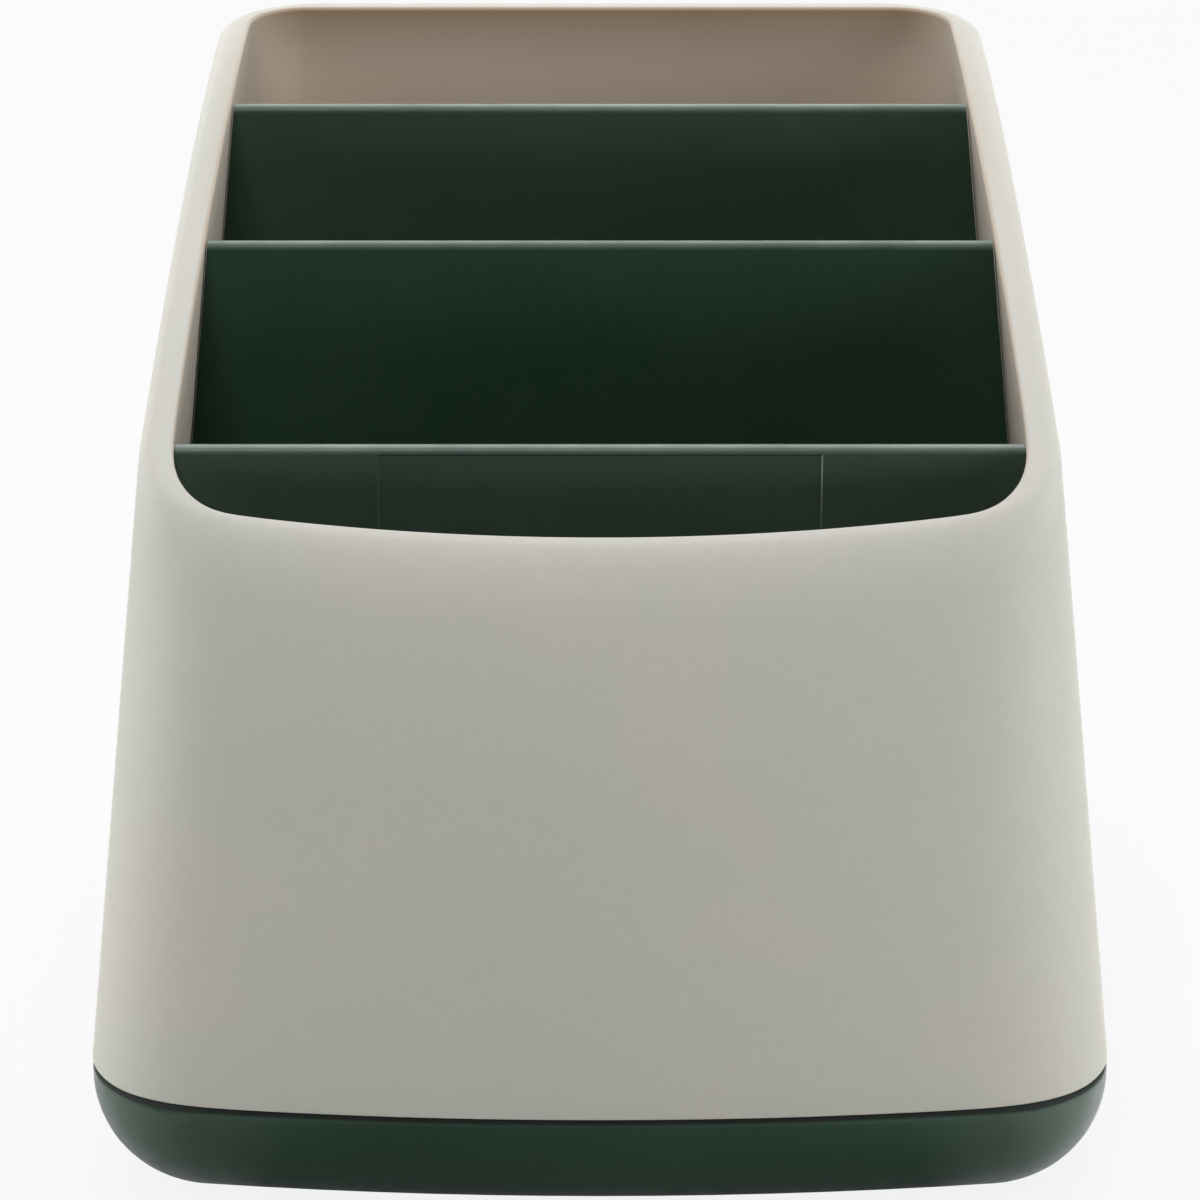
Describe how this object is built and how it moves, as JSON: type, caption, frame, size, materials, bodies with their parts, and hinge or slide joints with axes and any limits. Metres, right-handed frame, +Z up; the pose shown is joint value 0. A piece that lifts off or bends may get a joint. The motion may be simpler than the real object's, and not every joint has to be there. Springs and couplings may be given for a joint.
{
  "type": "remote control holder",
  "caption": "Free-standing desk holder for remote controls: drafted lift-off sleeve with a rising rim over a dished base with divider plates.",
  "frame": {"origin": "centre of the outline at the level of the surface it stands on", "axes": "+Z up, -Y towards the low front lip, +X to the right seen from the front"},
  "size_m": [0.11, 0.117, 0.1103],
  "materials": {
    "shell_plastic": "fine matte, warm cream",
    "base_plastic": "satin matte, dark green",
    "foot_rubber": "matte, dark grey"
  },
  "bodies": {
    "base": {"base_tray": "base_plastic", "front_divider": "base_plastic", "middle_divider": "base_plastic", "rear_divider": "base_plastic", "foot_front_left": "foot_rubber", "foot_front_right": "foot_rubber", "foot_rear_left": "foot_rubber", "foot_rear_right": "foot_rubber"},
    "shell": {"outer_shell": "shell_plastic"}
  },
  "joints": [
    {"name": "shell_lift", "type": "slide", "parent": "base", "child": "shell", "axis": [0, 0, 1], "range_m": [0, 0.1]}
  ]
}
